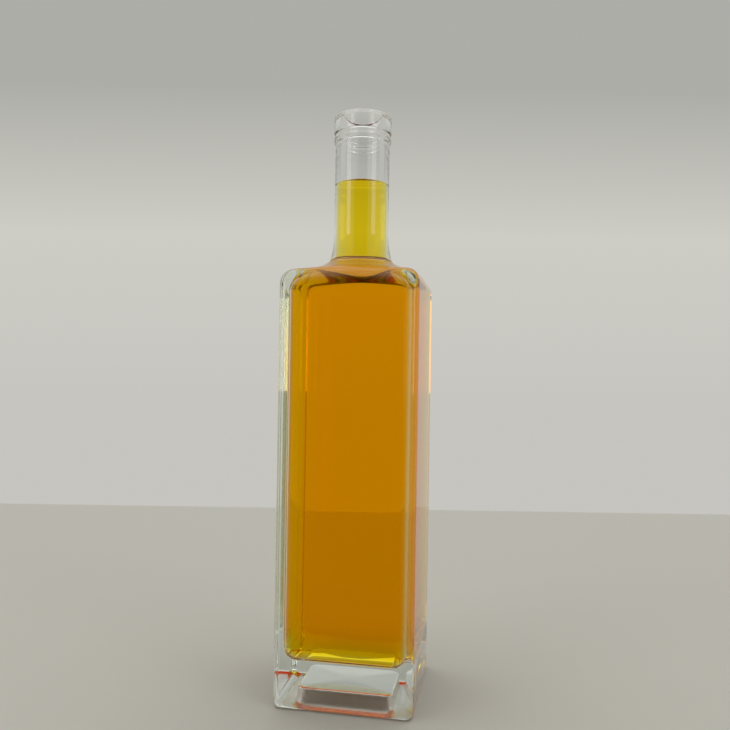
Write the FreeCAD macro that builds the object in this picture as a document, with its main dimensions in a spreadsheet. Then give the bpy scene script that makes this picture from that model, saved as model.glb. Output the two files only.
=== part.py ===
import FreeCAD, Part
import math
import os
import Sketcher

# A tall square spirit bottle of clear glass, filled with spirit to halfway up its neck.
# It stands upright: the origin is at the middle of its underside, +Z runs up the neck and
# the four flat sides face along X and Y. Every size is in millimetres.

SIZES = {
    # the square body
    "body_width": 69.5,
    "corner_radius": 4.6,
    "heel_radius": 3.2,
    "shoulder_height": 216.4,
    "shoulder_radius": 7.2,
    # the push-up, a square hollow in the underside
    "pushup_width": 47.6,
    "pushup_corner_radius": 5.0,
    "pushup_depth": 8.9,
    "pushup_rounding": 1.2,
    "pushup_rim_rounding": 3.4,
    # the crown, which sweeps up from the shoulder to the neck along a hollow arc
    "crown_reach": 41.0,  # where the arc starts, as a radius from the axis
    "crown_radius": 49.0,
    # the neck
    "bottle_height": 300.0,
    "neck_radius": 14.3,
    "flare_height": 231.7,  # the neck widens below here, towards the crown
    "flare_width": 6.05,
    "flare_radius": 62.0,
    "neck_root_radius": 2.5,
    # the finish: a wide upper band, a groove and a narrow bead
    "collar_radius": 15.15,
    "collar_foot": 290.3,
    "groove_radius": 14.35,
    "bead_radius": 15.0,
    "bead_top": 288.3,
    "bead_foot": 285.2,
    "bead_rounding": 0.6,
    "lip_outer_rounding": 1.8,
    "lip_inner_rounding": 1.2,
    # the inside: a thick base, even walls and a straight bore for a cork
    "base_thickness": 22.5,
    "wall_thickness": 4.3,
    "inner_radius": 6.5,
    "roof_thickness": 4.0,  # glass between the crown and the chamber
    "bore_radius": 9.7,
    "bore_root_radius": 5.0,
    # the spirit
    "spirit_level": 264.0,
}
REACH = 60.0  # a radius clear of the whole bottle, for the turned cuts
CORE = 8.0  # a radius inside the neck and the bore, where the turned cuts stop
HEADROOM = 11.0  # how far a prism stands above the shoulder, to be cut down to the crown
OVERLAP = 10.0  # how far the neck and the bore run down into the body
ROUGH = 10.0  # half the width at which a square is first drawn
NEAR = 0.01  # two heights or radii closer than this are the same

doc = FreeCAD.newDocument("square_spirit_bottle")

sheet = doc.addObject("Spreadsheet::Sheet", "sizes")
for row, (name, value) in enumerate(SIZES.items(), start=1):
    sheet.set(f"A{row}", name)
    sheet.set(f"B{row}", str(value))
    sheet.setAlias(f"B{row}", name)
doc.recompute()


def new_sketch(body, name, plane):
    """An empty sketch on one of the body's own origin planes."""
    sketch = body.newObject("Sketcher::SketchObject", name)
    support = next(item for item in body.Origin.OriginFeatures if item.Role == plane)
    sketch.AttachmentSupport = [(support, "")]
    sketch.MapMode = "FlatFace"
    return sketch


def join_up(sketch):
    """Join the sketch's edges end to end, the last one to the first."""
    count = sketch.GeometryCount
    for edge in range(count):
        sketch.addConstraint(Sketcher.Constraint("Coincident", edge, 2, (edge + 1) % count, 1))


def pin_start(sketch, edge, radius, height):
    """Hold an edge's first point at a radius and a height, both given as expressions."""
    now = sketch.getPoint(edge, 1)
    for kind, axis, place, wanted in (
        ("DistanceX", -2, now.x, radius),
        ("DistanceY", -1, now.y, height),
    ):
        if wanted == "0":
            sketch.addConstraint(Sketcher.Constraint("PointOnObject", edge, 1, axis))
        else:
            index = sketch.addConstraint(Sketcher.Constraint(kind, -1, 1, edge, 1, place))
            sketch.setExpression(f"Constraints[{index}]", wanted)


def closed_lines(sketch, points):
    """A closed outline of straight lines through the points."""
    corners = [FreeCAD.Vector(x, y, 0) for x, y in points]
    for start, end in zip(corners, corners[1:] + corners[:1]):
        sketch.addGeometry(Part.LineSegment(start, end))
    join_up(sketch)


def square_sketch(body, name, width):
    """A square centred on the axis, its width an expression."""
    sketch = new_sketch(body, name, "XY_Plane")
    closed_lines(sketch, [(-ROUGH, -ROUGH), (ROUGH, -ROUGH), (ROUGH, ROUGH), (-ROUGH, ROUGH)])
    for line in range(4):
        direction = "Vertical" if line % 2 else "Horizontal"
        sketch.addConstraint(Sketcher.Constraint(direction, line))
    sketch.addConstraint(Sketcher.Constraint("Symmetric", 0, 1, 2, 1, -1, 1))
    sketch.addConstraint(Sketcher.Constraint("Equal", 0, 1))
    side = sketch.addConstraint(Sketcher.Constraint("DistanceX", 0, 1, 0, 2, 2 * ROUGH))
    sketch.setExpression(f"Constraints[{side}]", width)
    return sketch


def square_prism(body, name, width, base, top):
    """A square prism between two heights. All three sizes are expressions."""
    sketch = square_sketch(body, name + "_square", width)
    sketch.setExpression("AttachmentOffset.Base.z", base)
    pad = body.newObject("PartDesign::Pad", name)
    pad.Profile = sketch
    pad.setExpression("Length", f"{top} - {base}")
    doc.recompute()


def turn(body, kind, name, sketch):
    """Turn a sketch about the axis, as a Revolution that adds or a Groove that cuts."""
    feature = body.newObject(kind, name)
    feature.Profile = sketch
    feature.ReferenceAxis = (sketch, ["V_Axis"])
    feature.Angle = 360.0
    doc.recompute()


def turned_stem(body, name, outline):
    """Add what is round, from the radius and the height of each corner of its outline."""
    sketch = new_sketch(body, name + "_profile", "XZ_Plane")
    closed_lines(sketch, [(1 + step, 1 + step * step) for step in range(len(outline))])
    for line, (radius, height) in enumerate(outline):
        pin_start(sketch, line, radius, height)
    turn(body, "PartDesign::Revolution", name, sketch)


def crown_cut(body, name, base, radius):
    """Cut the top of the prism down to the crown.

    base is the height at which its hollow arc starts and radius is the arc's, as expressions.
    """
    climb = f"({radius} - sqrt({radius} ^ 2 - (sizes.crown_reach - {CORE}) ^ 2))"
    above = f"{base} + 2 * {climb}"
    run = SIZES["crown_reach"] - CORE
    rough = SIZES["crown_radius"]
    level = SIZES["shoulder_height"]
    rise = rough - math.sqrt(rough**2 - run**2)
    sag = rough - math.sqrt(rough**2 - (run / 2) ** 2)
    foot = (SIZES["crown_reach"], level)
    halfway = (SIZES["crown_reach"] - run / 2, level + sag)
    summit = (CORE, level + rise)
    corners = [foot, (REACH, level), (REACH, level + 2 * rise), (CORE, level + 2 * rise), summit]

    sketch = new_sketch(body, name + "_profile", "XZ_Plane")
    sketch.addGeometry(Part.Arc(*(FreeCAD.Vector(x, y, 0) for x, y in (summit, halfway, foot))))
    for start, end in zip(corners, corners[1:]):
        sketch.addGeometry(Part.LineSegment(*(FreeCAD.Vector(x, y, 0) for x, y in (start, end))))
    join_up(sketch)
    bend = sketch.addConstraint(Sketcher.Constraint("Radius", 0, rough))
    sketch.setExpression(f"Constraints[{bend}]", radius)
    pin_start(sketch, 1, "sizes.crown_reach", base)
    pin_start(sketch, 2, str(REACH), base)
    pin_start(sketch, 3, str(REACH), above)
    pin_start(sketch, 4, str(CORE), above)
    pin_start(sketch, 0, str(CORE), f"{base} + {climb}")
    turn(body, "PartDesign::Groove", name, sketch)


def round_edges(body, name, radius, wanted):
    """Round the edges of the body's last feature for which wanted(edge) is true."""
    base = body.Tip
    chosen = [f"Edge{i}" for i, edge in enumerate(base.Shape.Edges, start=1) if wanted(edge)]
    fillet = body.newObject("PartDesign::Fillet", name)
    fillet.Base = (base, chosen)
    fillet.setExpression("Radius", f"sizes.{radius}")
    doc.recompute()


def is_plumb(edge):
    """An edge that runs straight up."""
    return max(edge.BoundBox.XLength, edge.BoundBox.YLength) < NEAR < edge.BoundBox.ZLength


def is_long_corner(edge):
    """One of the four upright corners of a body."""
    return is_plumb(edge) and edge.Length > SIZES["shoulder_height"] / 2


def is_pushup_corner(edge):
    """One of the four upright corners of the push-up."""
    return is_plumb(edge) and edge.BoundBox.ZMax < SIZES["pushup_depth"] + NEAR


def is_pushup_rim(edge):
    """An edge where the push-up opens in the underside."""
    reach = SIZES["pushup_width"] / 2 + NEAR
    return lies_at(0)(edge) and max(edge.BoundBox.XMax, edge.BoundBox.YMax) < reach


def is_shoulder(edge):
    """An edge that runs along the top of one of the sides, outside or inside."""
    middle = edge.valueAt((edge.FirstParameter + edge.LastParameter) / 2)
    high = edge.BoundBox.ZMin > SIZES["shoulder_height"] - 2 * SIZES["roof_thickness"]
    side = SIZES["body_width"] / 2 - SIZES["wall_thickness"]
    return high and max(abs(middle.x), abs(middle.y)) > side - NEAR


def lies_at(height):
    """A test for edges that stay at one height."""
    return lambda edge: max(abs(edge.BoundBox.ZMin - height), abs(edge.BoundBox.ZMax - height)) < NEAR


def is_ring(radius, height):
    """A test for the circle of this radius about the axis, at this height."""
    at_height = lies_at(height)
    return lambda edge: at_height(edge) and abs(edge.BoundBox.XMax - radius) < NEAR


def is_neck_root(edge):
    """The circle where the flare of the neck meets the crown."""
    least = SIZES["neck_radius"] + 1
    most = SIZES["neck_radius"] + SIZES["flare_width"]
    return least < edge.BoundBox.XMax < most and edge.BoundBox.ZMin > SIZES["shoulder_height"]


def is_bore_root(edge):
    """The circle where the bore opens into the chamber."""
    middle = (SIZES["shoulder_height"] + SIZES["bottle_height"]) / 2
    low = SIZES["shoulder_height"] - SIZES["roof_thickness"] < edge.BoundBox.ZMin < middle
    return low and abs(edge.BoundBox.XMax - SIZES["bore_radius"]) < NEAR and not is_plumb(edge)


# The square body and its crown, still with sharp edges.
prism_top = f"(sizes.shoulder_height + {HEADROOM})"
blank = doc.addObject("PartDesign::Body", "blank")
square_prism(blank, "outside_prism", "sizes.body_width", "0", prism_top)
crown_cut(blank, "crown", "sizes.shoulder_height", "sizes.crown_radius")

# The shoulder is rounder than the upright corners, and they are rounded together.
rounded_blank = doc.addObject("Part::Fillet", "rounded_blank")
rounded_blank.Base = blank
rounded_blank.Edges = [
    (number, radius, radius)
    for number, edge in enumerate(blank.Shape.Edges, start=1)
    for radius, wanted in (
        (SIZES["corner_radius"], is_long_corner),
        (SIZES["shoulder_radius"], is_shoulder),
    )
    if wanted(edge)
]
doc.recompute()

# The outside of the glass as one solid form.
outside = doc.addObject("PartDesign::Body", "outside")
outside.BaseFeature = rounded_blank
doc.recompute()
round_edges(outside, "heel", "heel_radius", lies_at(0))

# The neck widens into the crown, and carries the band, groove and bead of the finish.
turned_stem(outside, "neck", [
    ("0", f"sizes.shoulder_height - {OVERLAP}"),
    ("sizes.neck_radius + sizes.flare_width", f"sizes.shoulder_height - {OVERLAP}"),
    ("sizes.neck_radius", "sizes.flare_height"),
    ("sizes.neck_radius", "sizes.bead_foot"),
    ("sizes.bead_radius", "sizes.bead_foot"),
    ("sizes.bead_radius", "sizes.bead_top"),
    ("sizes.groove_radius", "sizes.bead_top"),
    ("sizes.groove_radius", "sizes.collar_foot"),
    ("sizes.collar_radius", "sizes.collar_foot"),
    ("sizes.collar_radius", "sizes.bottle_height"),
    ("0", "sizes.bottle_height"),
])
round_edges(outside, "neck_flare", "flare_radius", is_ring(SIZES["neck_radius"], SIZES["flare_height"]))
round_edges(outside, "neck_root", "neck_root_radius", is_neck_root)
for name, radius, height in (
    ("bead_foot_edge", "bead_radius", "bead_foot"),
    ("bead_top_edge", "bead_radius", "bead_top"),
    ("collar_foot_edge", "collar_radius", "collar_foot"),
):
    round_edges(outside, name, "bead_rounding", is_ring(SIZES[radius], SIZES[height]))
is_lip = is_ring(SIZES["collar_radius"], SIZES["bottle_height"])
round_edges(outside, "lip", "lip_outer_rounding", is_lip)

# The push-up, so that the glass touches the table only round the heel.
solid_base_volume = outside.Shape.Volume
pushup = outside.newObject("PartDesign::Pocket", "pushup")
pushup.Profile = square_sketch(outside, "pushup_square", "sizes.pushup_width")
pushup.Reversed = True
pushup.setExpression("Length", "sizes.pushup_depth")
doc.recompute()
if not outside.Shape.Volume < solid_base_volume:
    raise RuntimeError("the push-up cut nothing")
round_edges(outside, "pushup_corners", "pushup_corner_radius", is_pushup_corner)
round_edges(outside, "pushup_edge", "pushup_rounding", lies_at(SIZES["pushup_depth"]))
round_edges(outside, "pushup_rim", "pushup_rim_rounding", is_pushup_rim)

# The inside as one solid form: the square chamber, and the bore that opens at the mouth.
chamber_width = "(sizes.body_width - 2 * sizes.wall_thickness)"
chamber_top = "(sizes.shoulder_height - sizes.roof_thickness)"
inside = doc.addObject("PartDesign::Body", "inside")
square_prism(inside, "inside_prism", chamber_width, "sizes.base_thickness", prism_top)
crown_cut(inside, "inside_crown", chamber_top, "(sizes.crown_radius + sizes.roof_thickness)")
for name, wanted in (
    ("inside_corners", is_long_corner),
    ("inside_shoulder", is_shoulder),
    ("inside_heel", lies_at(SIZES["base_thickness"])),
):
    round_edges(inside, name, "inner_radius", wanted)
turned_stem(inside, "bore", [
    ("0", f"{chamber_top} - {OVERLAP}"),
    ("sizes.bore_radius", f"{chamber_top} - {OVERLAP}"),
    ("sizes.bore_radius", "sizes.bottle_height"),
    ("0", "sizes.bottle_height"),
])
round_edges(inside, "bore_root", "bore_root_radius", is_bore_root)

# The bottle is the outside less the inside, with the sharp edge of the mouth rounded.
hollow = doc.addObject("Part::Cut", "hollow_bottle")
hollow.Base = outside
hollow.Tool = inside
doc.recompute()
is_mouth = is_ring(SIZES["bore_radius"], SIZES["bottle_height"])
rounding = SIZES["lip_inner_rounding"]
bottle = doc.addObject("Part::Fillet", "bottle")
bottle.Label = "bottle"
bottle.Base = hollow
bottle.Edges = [
    (number, rounding, rounding)
    for number, edge in enumerate(hollow.Shape.Edges, start=1)
    if is_mouth(edge)
]

# The spirit fills the inside up to its level, so it touches the glass all over.
filled_height = doc.addObject("Part::Cylinder", "filled_height")
filled_height.setExpression("Radius", "sizes.body_width")
filled_height.setExpression("Height", "sizes.spirit_level")
spirit = doc.addObject("Part::Common", "spirit")
spirit.Label = "spirit"
spirit.Base = inside
spirit.Tool = filled_height
doc.recompute()

# Nothing is written unless every feature built and each piece is one sound solid.
for item in doc.Objects:
    failed = {"Invalid", "Error"} & set(item.State)
    if failed:
        raise RuntimeError(f"{item.Name} did not build: {sorted(failed)}")
pieces = [bottle, spirit]
for piece in pieces:
    shape = piece.Shape
    if shape.isNull() or not shape.isValid() or len(shape.Solids) != 1:
        raise RuntimeError(f"{piece.Label} is not one sound solid")

os.makedirs("parts", exist_ok=True)
for piece in pieces:
    piece.Shape.exportStep(f"parts/{piece.Label}.step")
    print(f"{piece.Label}: {piece.Shape.Volume / 1000:.1f} ml")
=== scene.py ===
import math

import bpy
import numpy as np
from mathutils import Matrix, Vector


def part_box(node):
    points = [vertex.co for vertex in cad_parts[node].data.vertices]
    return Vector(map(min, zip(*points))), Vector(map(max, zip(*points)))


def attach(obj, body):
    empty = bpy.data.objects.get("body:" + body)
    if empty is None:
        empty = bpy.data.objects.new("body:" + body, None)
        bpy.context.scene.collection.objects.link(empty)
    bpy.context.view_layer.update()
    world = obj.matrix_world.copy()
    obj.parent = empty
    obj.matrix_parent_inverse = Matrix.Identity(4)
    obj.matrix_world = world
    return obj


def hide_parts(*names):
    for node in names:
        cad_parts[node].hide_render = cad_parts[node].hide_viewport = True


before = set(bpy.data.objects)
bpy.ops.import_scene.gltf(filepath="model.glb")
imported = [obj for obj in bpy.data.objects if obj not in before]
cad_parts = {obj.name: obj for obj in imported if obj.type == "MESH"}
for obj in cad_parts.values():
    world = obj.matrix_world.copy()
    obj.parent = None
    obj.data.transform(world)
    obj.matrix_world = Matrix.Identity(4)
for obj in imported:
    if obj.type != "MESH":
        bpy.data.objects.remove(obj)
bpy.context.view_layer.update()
scene = bpy.context.scene

# The bottle is moulded in clear colourless glass: a square body with a thick base and a low
# crown, and a round neck whose finish is a wide band over a narrow bead. The glass is fire
# polished and smooth, but for the stippled ring and hollow of the underside.
bottle_low, bottle_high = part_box("bottle")
spirit_low, spirit_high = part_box("spirit")
HALF_WIDTH = (bottle_high.x - bottle_low.x) / 2
CHAMBER_HALF = (spirit_high.x - spirit_low.x) / 2
MOUTH = bottle_high.z
BASE = spirit_low.z
LEVEL = spirit_high.z
CORNER = 0.0042
HEEL = 0.0032
SHOULDER = 0.2164
SHOULDER_DROP = 0.0080
SHOULDER_INSET = 0.0064
CROWN_REACH = 0.041
CROWN_RADIUS = 0.049
ROOF = 0.004
NECK = 0.0143
FLARE_TOP = 0.2390
FLARE_RADIUS = 0.062
BORE = 0.0097
INNER_ROUNDING = 0.0065
PUSHUP_HALF = 0.0238
PUSHUP_DEPTH = 0.0089

FLAT_STEPS = 24
CORNER_STEPS = 16
COLUMNS = 4 * (FLAT_STEPS + CORNER_STEPS)


def square(half, corner):
    """A square with rounded corners, each flat closed by a short step so that it shades flat."""
    centre = half - corner
    along = np.linspace(-centre, centre, FLAT_STEPS - 1)
    edge = min(0.0001, corner / 20)
    flat = np.concatenate([along[:1], along[:1] + edge, along[1:-1], along[-1:] - edge])
    turn = np.linspace(0, math.pi / 2, CORNER_STEPS, endpoint=False)
    x = np.concatenate([np.full(FLAT_STEPS, half), centre + corner * np.cos(turn)])
    y = np.concatenate([flat, centre + corner * np.sin(turn)])
    sides = [(x, y), (-y, x), (-x, -y), (y, -x)]
    return np.concatenate([np.stack(side, axis=1) for side in sides])


def circle(radius):
    """A circle with the same number of points as a square, starting in the same direction."""
    first = -math.pi / 4 * FLAT_STEPS / (FLAT_STEPS + CORNER_STEPS)
    a = first + np.arange(COLUMNS) * 2 * math.pi / COLUMNS
    return np.stack([np.cos(a), np.sin(a)], axis=1) * radius


def crown_height(reach, base, radius):
    """The height of a crown that sweeps up from base along a hollow arc."""
    run = np.clip(CROWN_REACH - reach, 0, None)
    return base + radius - np.sqrt(radius**2 - run**2)


def eased(corners, steps=6):
    """A path through (radius, height, rounding) corners, each rounded by an arc."""
    path = []
    points = [np.array(corner[:2]) for corner in corners]
    for index, point in enumerate(points):
        rounding = corners[index][2]
        if rounding == 0 or index in (0, len(points) - 1):
            path.append(tuple(point))
            continue
        before, after = points[index - 1] - point, points[index + 1] - point
        before, after = before / np.linalg.norm(before), after / np.linalg.norm(after)
        half_turn = math.acos(np.clip(np.dot(before, after), -1, 1)) / 2
        tangent = rounding / math.tan(half_turn)
        centre = point + (before + after) / np.linalg.norm(before + after) * rounding / math.sin(half_turn)
        first = np.arctan2(*(point + before * tangent - centre)[::-1])
        last = np.arctan2(*(point + after * tangent - centre)[::-1])
        turn = (last - first + math.pi) % (2 * math.pi) - math.pi
        for step in range(steps + 1):
            a = first + turn * step / steps
            path.append(tuple(centre + rounding * np.array([math.cos(a), math.sin(a)])))
    return path


def softened(path, corner, spread):
    """Replace the part of a path within spread of a corner by a smooth bend."""
    points = np.array(path)
    distance = np.linalg.norm(points - corner, axis=1)
    inside = np.where(distance < spread)[0]
    first, last = inside[0] - 1, inside[-1] + 1
    a, c = points[first], points[last]
    bend = [(1 - t) ** 2 * a + 2 * t * (1 - t) * np.array(corner) + t**2 * c for t in np.linspace(0, 1, 9)]
    return [*map(tuple, points[:first]), *map(tuple, bend), *map(tuple, points[last + 1:])]


def ring(outline, height):
    """One ring of points at a height, or at a height for each of them."""
    return np.column_stack([outline, np.broadcast_to(height, len(outline))])


def on_crown(outline, base, radius, drop=0.0):
    """A ring that lies on the crown, or drop below it."""
    return ring(outline, crown_height(np.linalg.norm(outline, axis=1), base, radius) - drop)


def round_rings(path):
    return [ring(circle(radius), height) for radius, height in path]


def body_rings(half, corner, heel, bottom, shoulder, crown, drop, inset, wall_steps, blend_to):
    """Rings up a square body: its rounded heel, its sides, its rounded shoulder and its crown."""
    rings = []
    for a in np.linspace(0, math.pi / 2, 13):
        pulled = heel * (1 - math.sin(a))
        outline = square(half - pulled, max(corner - pulled, 1e-5))
        rings.append(ring(outline, bottom + heel * (1 - math.cos(a))))
    low = bottom + heel
    high = shoulder - drop
    heights = [low + 0.0001, *np.linspace(low, high, wall_steps)[1:-1]]
    rings += [ring(square(half, corner), height) for height in heights]
    rings.append(on_crown(square(half, corner), shoulder, crown, drop + 0.0001))
    for a in np.linspace(0, math.pi / 2, 19):
        outline = square(half - inset * (1 - math.cos(a)), corner)
        rings.append(on_crown(outline, shoulder, crown, drop * (1 - math.sin(a))))
    for share in np.linspace(0, 1, 14)[1:]:
        rings.append(on_crown(outline + (circle(blend_to) - outline) * share, shoulder, crown))
    return rings


def skin(rings):
    """A closed mesh over a run of rings that starts and ends at the axis."""
    count = COLUMNS
    first_middle = rings[0].mean(axis=0, keepdims=True)
    last_middle = rings[-1].mean(axis=0, keepdims=True)
    points = np.concatenate([first_middle, *rings, last_middle])
    faces = []
    last = len(points) - 1
    for i in range(count):
        j = (i + 1) % count
        faces.append((0, 1 + j, 1 + i))
        for row in range(len(rings) - 1):
            low, high = 1 + row * count, 1 + (row + 1) * count
            faces.append((low + i, low + j, high + j, high + i))
        top = 1 + (len(rings) - 1) * count
        faces.append((last, top + i, top + j))
    return points, faces


def add_piece(name, points, faces, material):
    mesh = bpy.data.meshes.new(name)
    mesh.from_pydata([tuple(map(float, p)) for p in points], [], faces)
    mesh.polygons.foreach_set("use_smooth", [True] * len(mesh.polygons))
    mesh.materials.append(material)
    mesh.validate()
    mesh.update()
    piece = bpy.data.objects.new(name, mesh)
    scene.collection.objects.link(piece)
    return piece


def neck_root():
    """Where the crown meets the flare of the neck, as radius and height."""
    for radius in np.linspace(NECK, NECK + 0.008, 4001):
        flare = FLARE_TOP - math.sqrt(max(FLARE_RADIUS**2 - (FLARE_RADIUS - (radius - NECK)) ** 2, 0))
        if flare <= crown_height(radius, SHOULDER, CROWN_RADIUS):
            return radius, flare
    raise ValueError("the flare misses the crown")


root_radius, root_height = neck_root()

# the outside, from the middle of the push-up to the lip
PUSHUP_CORNER = 0.0050
PUSHUP_ROUNDING = 0.0012
PUSHUP_RIM = 0.0034
CROWN_BLEND = 0.0225
pushup_path = eased([
    (0.0005, PUSHUP_DEPTH, 0),
    (PUSHUP_HALF, PUSHUP_DEPTH, PUSHUP_ROUNDING),
    (PUSHUP_HALF, 0.0, PUSHUP_RIM),
    (HALF_WIDTH - HEEL - 0.0004, 0.0, 0),
])
outside = [ring(square(reach, PUSHUP_CORNER * reach / PUSHUP_HALF), rise) for reach, rise in pushup_path]
outside.append(ring(square(HALF_WIDTH - HEEL - 0.0002, CORNER), 0.0))
outside += body_rings(
    HALF_WIDTH, CORNER, HEEL, 0.0, SHOULDER, CROWN_RADIUS,
    SHOULDER_DROP, SHOULDER_INSET, 60, CROWN_BLEND
)

ROOT_SPREAD = 0.0019
crown_radii = np.linspace(CROWN_BLEND - 0.0005, root_radius, 9)
stem = [(r, float(crown_height(r, SHOULDER, CROWN_RADIUS))) for r in crown_radii]
flare_turn = math.asin((FLARE_TOP - root_height) / FLARE_RADIUS)
for a in np.linspace(flare_turn, 0, 16)[1:]:
    stem.append((NECK + FLARE_RADIUS * (1 - math.cos(a)), FLARE_TOP - FLARE_RADIUS * math.sin(a)))
stem = softened(stem, (root_radius, root_height), ROOT_SPREAD)
BEAD, GROOVE, BAND = 0.0150, 0.01435, 0.01515
BEAD_FOOT, BEAD_TOP, BAND_FOOT = 0.2852, 0.2883, 0.2903
finish_path = eased([
    (NECK, 0.2500, 0),
    (NECK, BEAD_FOOT, 0.0003),
    (BEAD, BEAD_FOOT, 0.0006),
    (BEAD, BEAD_TOP, 0.0006),
    (GROOVE, BEAD_TOP, 0.0004),
    (GROOVE, BAND_FOOT, 0.0004),
    (BAND, BAND_FOOT, 0.0006),
    (BAND, MOUTH, 0.0018),
    (BORE, MOUTH, 0.0012),
    (BORE, MOUTH - 0.012, 0),
])
stem += finish_path
outside += round_rings(stem)

# the inside, from the floor of the chamber up to its roof and the bore
ROOF_BLEND = 0.0195
BORE_SPREAD = 0.0034
BORE_TOP = 0.270
CHAMBER_TOP = SHOULDER - ROOF
ROOF_RADIUS = CROWN_RADIUS + ROOF
bore_foot_height = float(crown_height(BORE, CHAMBER_TOP, ROOF_RADIUS))
roof_radii = np.linspace(ROOF_BLEND - 0.0005, BORE, 14)
roof = [(r, float(crown_height(r, CHAMBER_TOP, ROOF_RADIUS))) for r in roof_radii]
bore = [(BORE, h) for h in np.linspace(bore_foot_height, BORE_TOP, 34)[1:]]
bore_up = softened(roof + bore, (BORE, bore_foot_height), BORE_SPREAD)
chamber = body_rings(
    CHAMBER_HALF, INNER_ROUNDING, INNER_ROUNDING, BASE, CHAMBER_TOP, ROOF_RADIUS,
    INNER_ROUNDING, INNER_ROUNDING, 90, ROOF_BLEND
)
floor = square(CHAMBER_HALF - INNER_ROUNDING, 1e-5)
chamber = [ring(floor * share, BASE) for share in (0.02, 0.5, 0.99)] + chamber
inside = chamber + round_rings(bore_up)
bottle_points, bottle_faces = skin(outside + inside[::-1])

glass = bpy.data.materials.new("clear_glass")
glass.use_nodes = True
nodes, links = glass.node_tree.nodes, glass.node_tree.links
shader = nodes["Principled BSDF"]
shader.inputs["Base Color"].default_value = (1, 1, 1, 1)
shader.inputs["Roughness"].default_value = 0.0
shader.inputs["IOR"].default_value = 1.5
shader.inputs["Transmission Weight"].default_value = 1.0
tint = nodes.new("ShaderNodeVolumeAbsorption")
tint.inputs["Color"].default_value = (0.80, 0.90, 0.84, 1)
tint.inputs["Density"].default_value = 8.0
links.new(tint.outputs["Volume"], nodes["Material Output"].inputs["Volume"])

# where the spirit wets it, the inside of the glass hardly reflects
dry = nodes.new("ShaderNodeAttribute")
dry.attribute_name = "dry"
links.new(dry.outputs["Fac"], shader.inputs["Specular Tint"])

# the ring that the bottle stands on and the wall of the push-up are stippled in the mould
STIPPLE = 0.4
rough = nodes.new("ShaderNodeAttribute")
rough.attribute_name = "stipple"
links.new(rough.outputs["Fac"], shader.inputs["Roughness"])

bottle = add_piece("glass_bottle", bottle_points, bottle_faces, glass)
first_inside = 1 + len(outside) * COLUMNS
dryness = [1.0 if i < first_inside or p[2] > LEVEL else 0.0 for i, p in enumerate(bottle_points)]
bottle.data.attributes.new("dry", "FLOAT", "POINT").data.foreach_set("value", dryness)
stipple = []
for i, p in enumerate(bottle_points):
    reach = max(abs(p[0]), abs(p[1]))
    moulded = i < first_inside and p[2] < PUSHUP_DEPTH - 0.0008 and reach < HALF_WIDTH - HEEL
    stipple.append(STIPPLE if moulded else 0.0)
bottle.data.attributes.new("stipple", "FLOAT", "POINT").data.foreach_set("value", stipple)
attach(bottle, "root")
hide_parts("bottle")

# The spirit is a clear amber liquid. It wets the glass, so it stands a little higher all
# round the bore, and its skin lies just inside the wall, so that no air shows between.
INTO_WALL = 0.00025
MENISCUS = 0.0011


def grown(rings, depth):
    """The rings pushed out into the glass by depth."""
    result = []
    for index, points in enumerate(rings):
        before, after = rings[max(index - 1, 0)], rings[min(index + 1, len(rings) - 1)]
        up = after - before
        round_way = np.roll(points, -1, axis=0) - np.roll(points, 1, axis=0)
        normal = np.cross(round_way, up)
        length = np.linalg.norm(normal, axis=1, keepdims=True)
        normal = np.where(length > 1e-12, normal / np.maximum(length, 1e-12), 0)
        result.append(points + normal * depth)
    return result


below = [points for points in inside if points[:, 2].max() < LEVEL - 0.001]
body = grown(below, INTO_WALL)
body[0] = ring(floor * 0.02, BASE - INTO_WALL)
top = [(BORE + INTO_WALL, LEVEL + MENISCUS * 0.6)]
for share in np.linspace(1, 0, 14):
    radius = BORE * share
    climb = MENISCUS * math.exp(-(BORE - radius) / 0.0011)
    top.append((max(radius, 1e-4), LEVEL - MENISCUS * 0.3 + climb))
spirit_points, spirit_faces = skin(body + round_rings(top))

amber = bpy.data.materials.new("amber_spirit")
amber.use_nodes = True
nodes, links = amber.node_tree.nodes, amber.node_tree.links
shader = nodes["Principled BSDF"]
shader.inputs["Base Color"].default_value = (1, 1, 1, 1)
shader.inputs["Roughness"].default_value = 0.0
shader.inputs["IOR"].default_value = 1.36
shader.inputs["Specular Tint"].default_value = (0, 0, 0, 1)
shader.inputs["Transmission Weight"].default_value = 1.0
tint = nodes.new("ShaderNodeVolumeAbsorption")
tint.inputs["Color"].default_value = (0.998, 0.931, 0.0, 1)
tint.inputs["Density"].default_value = 230.0
links.new(tint.outputs["Volume"], nodes["Material Output"].inputs["Volume"])

spirit = add_piece("spirit_fill", spirit_points, spirit_faces, amber)
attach(spirit, "root")
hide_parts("spirit")

# A plain pale table and, a good way behind it, a pale wall. For camera, glossy and transmission rays the
# wall glows with a painted colour that darkens towards the top: painted shade.
TURN = Matrix.Rotation(math.radians(10.539), 4, "Z")
TABLE_BACK = 0.485
WALL_AWAY = 2.3


def quad(name, corners, material):
    mesh = bpy.data.meshes.new(name)
    mesh.from_pydata(corners, [], [(0, 1, 2, 3)])
    mesh.materials.append(material)
    piece = bpy.data.objects.new(name, mesh)
    piece.matrix_world = TURN
    scene.collection.objects.link(piece)
    return piece


table_top = bpy.data.materials.new("pale_table")
table_top.use_nodes = True
shader = table_top.node_tree.nodes["Principled BSDF"]
shader.inputs["Base Color"].default_value = (0.74, 0.725, 0.67, 1)
shader.inputs["Roughness"].default_value = 0.8
shader.inputs["Specular IOR Level"].default_value = 0.2
TABLE_FRONT = -0.056
TABLE_SIDE = 2.2
TABLE_NEAR = -1.5
TABLE_LEVEL = -0.0001


def table_strip(name, front, back):
    """A strip of the table from front to back, just under the bottle's foot."""
    corners = [(-TABLE_SIDE, front), (TABLE_SIDE, front), (TABLE_SIDE, back), (-TABLE_SIDE, back)]
    return quad(name, [(x, y, TABLE_LEVEL) for x, y in corners], table_top)


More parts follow.
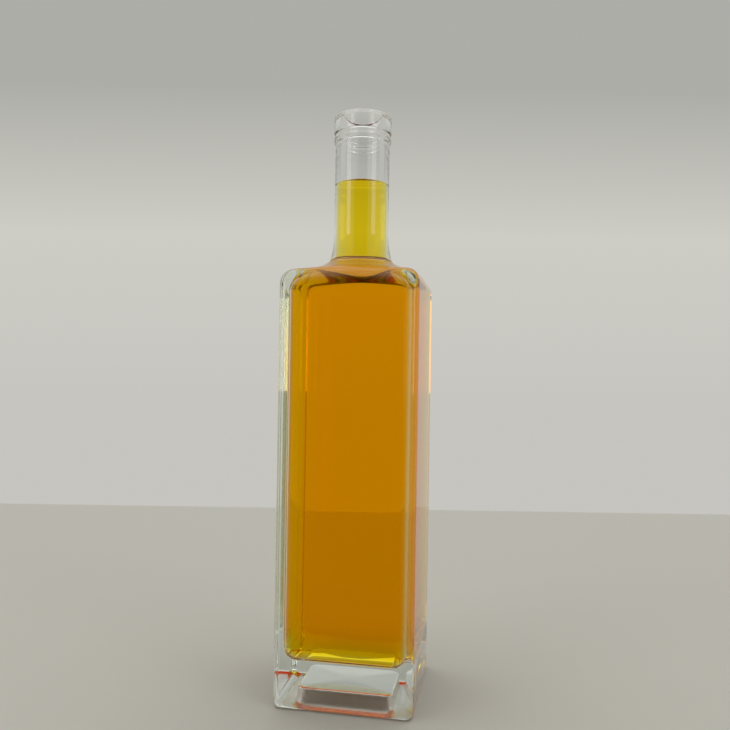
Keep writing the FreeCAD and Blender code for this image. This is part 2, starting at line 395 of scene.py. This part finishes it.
# the strip nearer the camera is kept out of the glass, so the front face doesn't mirror it
table_strip("table", TABLE_FRONT, TABLE_BACK)
near = table_strip("table_near", TABLE_NEAR, TABLE_FRONT)
near.visible_glossy = False
near.visible_transmission = False

wall_paint = bpy.data.materials.new("pale_wall")
wall_paint.use_nodes = True
nodes, links = wall_paint.node_tree.nodes, wall_paint.node_tree.links
shader = nodes["Principled BSDF"]
shader.inputs["Base Color"].default_value = (0.6, 0.6, 0.57, 1)
shader.inputs["Roughness"].default_value = 0.9
shader.inputs["Specular IOR Level"].default_value = 0.0
seen = nodes.new("ShaderNodeLightPath")
either = nodes.new("ShaderNodeMath")
either.operation = "MAXIMUM"
any_of = nodes.new("ShaderNodeMath")
any_of.operation = "MAXIMUM"
links.new(seen.outputs["Is Camera Ray"], either.inputs[0])
links.new(seen.outputs["Is Glossy Ray"], either.inputs[1])
links.new(either.outputs[0], any_of.inputs[0])
links.new(seen.outputs["Is Transmission Ray"], any_of.inputs[1])
place = nodes.new("ShaderNodeTexCoord")
split = nodes.new("ShaderNodeSeparateXYZ")
painted_shade_ramp = nodes.new("ShaderNodeValToRGB")
reach = nodes.new("ShaderNodeMapRange")
reach.inputs["From Min"].default_value = 0.0
reach.inputs["From Max"].default_value = 1.2
links.new(place.outputs["Object"], split.inputs[0])
links.new(split.outputs["Z"], reach.inputs["Value"])
links.new(reach.outputs["Result"], painted_shade_ramp.inputs["Fac"])
# painted shade: the colour of the wall's glow grows darker towards the top of the wall
ramp = painted_shade_ramp.color_ramp
ramp.elements[0].position = 0.0
ramp.elements[0].color = (0.565, 0.555, 0.52, 1)
ramp.elements[1].position = 1.0
ramp.elements[1].color = (0.42, 0.42, 0.39, 1)
middle = ramp.elements.new(0.55)
middle.color = (0.61, 0.605, 0.56, 1)
glow = nodes.new("ShaderNodeEmission")
links.new(painted_shade_ramp.outputs["Color"], glow.inputs["Color"])
mix = nodes.new("ShaderNodeMixShader")
links.new(any_of.outputs[0], mix.inputs["Fac"])
links.new(shader.outputs["BSDF"], mix.inputs[1])
links.new(glow.outputs["Emission"], mix.inputs[2])
links.new(mix.outputs["Shader"], nodes["Material Output"].inputs["Surface"])
WALL_SIDE = 1.6
WALL_FOOT = -1
WALL_TOP = 3
wall_corners = [
    (-WALL_SIDE, WALL_FOOT), (WALL_SIDE, WALL_FOOT), (WALL_SIDE, WALL_TOP), (-WALL_SIDE, WALL_TOP)
]
quad("wall", [(x, WALL_AWAY, z) for x, z in wall_corners], wall_paint)

world = bpy.data.worlds.new("dim_room")
scene.world = world
world.use_nodes = True
world.node_tree.nodes["Background"].inputs["Color"].default_value = (0.55, 0.545, 0.51, 1)
world.node_tree.nodes["Background"].inputs["Strength"].default_value = 0.9

# a dark card behind the camera, for the front face to mirror; the camera itself doesn't see it
shade = bpy.data.materials.new("dark_room")
shade.use_nodes = True
shader = shade.node_tree.nodes["Principled BSDF"]
shader.inputs["Base Color"].default_value = (0.02, 0.02, 0.02, 1)
shader.inputs["Roughness"].default_value = 0.9
shader.inputs["Specular IOR Level"].default_value = 0.0
dark_room = quad("dark_room", [(-1.2, -1.9, -2), (0.85, -1.9, -2), (0.85, -1.9, 2), (-1.2, -1.9, 2)], shade)
dark_room.visible_camera = False


def softbox(name, place, aim, size, radiance):
    light = bpy.data.lights.new(name, "AREA")
    light.shape = "RECTANGLE"
    light.size, light.size_y = size
    light.energy = radiance * math.pi * size[0] * size[1]
    lamp = bpy.data.objects.new(name, light)
    scene.collection.objects.link(lamp)
    lamp.location = TURN @ Vector(place)
    lamp.rotation_euler = (TURN @ Vector(aim) - lamp.location).to_track_quat("-Z", "Y").to_euler()
    return lamp


def around(azimuth, distance, height):
    """A place at an azimuth from the camera's side of the bottle, to the left when negative."""
    a = math.radians(azimuth)
    return (math.sin(a) * distance, -math.cos(a) * distance, height)


softbox("overhead", (0, 0.9, 2.4), (0, 0.9, 0), (3.0, 3.0), 0.62)
softbox("left_window", around(-57, 1.8, 0.42), (0, 0, 0.42), (0.6, 0.65), 2.2)
softbox("right_window", around(50, 1.8, 0.42), (0, 0, 0.42), (0.6, 0.65), 1.9)

# The camera looks at the bottle from a little above the middle of its height.
FOCAL = 730
DISTANCE = 0.38587
EYE = 0.16706
ASIDE = 0.00296
PITCH = math.radians(0.295)
ROLL = math.radians(0.871)
forward = Vector((0, math.cos(PITCH), math.sin(PITCH)))
upright = Vector((0, -math.sin(PITCH), math.cos(PITCH)))
level = Vector((1, 0, 0))
right = math.cos(ROLL) * level + math.sin(ROLL) * upright
up = -math.sin(ROLL) * level + math.cos(ROLL) * upright
lens = bpy.data.cameras.new("camera")
lens.sensor_width = 36
lens.lens = FOCAL / 730 * 36
lens.clip_start, lens.clip_end = 0.01, 30
camera = bpy.data.objects.new("camera", lens)
scene.collection.objects.link(camera)
facing = Matrix((right, up, -forward)).transposed().to_4x4()
camera.matrix_world = TURN @ Matrix.Translation((ASIDE, -DISTANCE, EYE)) @ facing
scene.camera = camera

scene.view_settings.view_transform = "Standard"
scene.cycles.max_bounces = 32
scene.cycles.transmission_bounces = 32
scene.cycles.glossy_bounces = 16
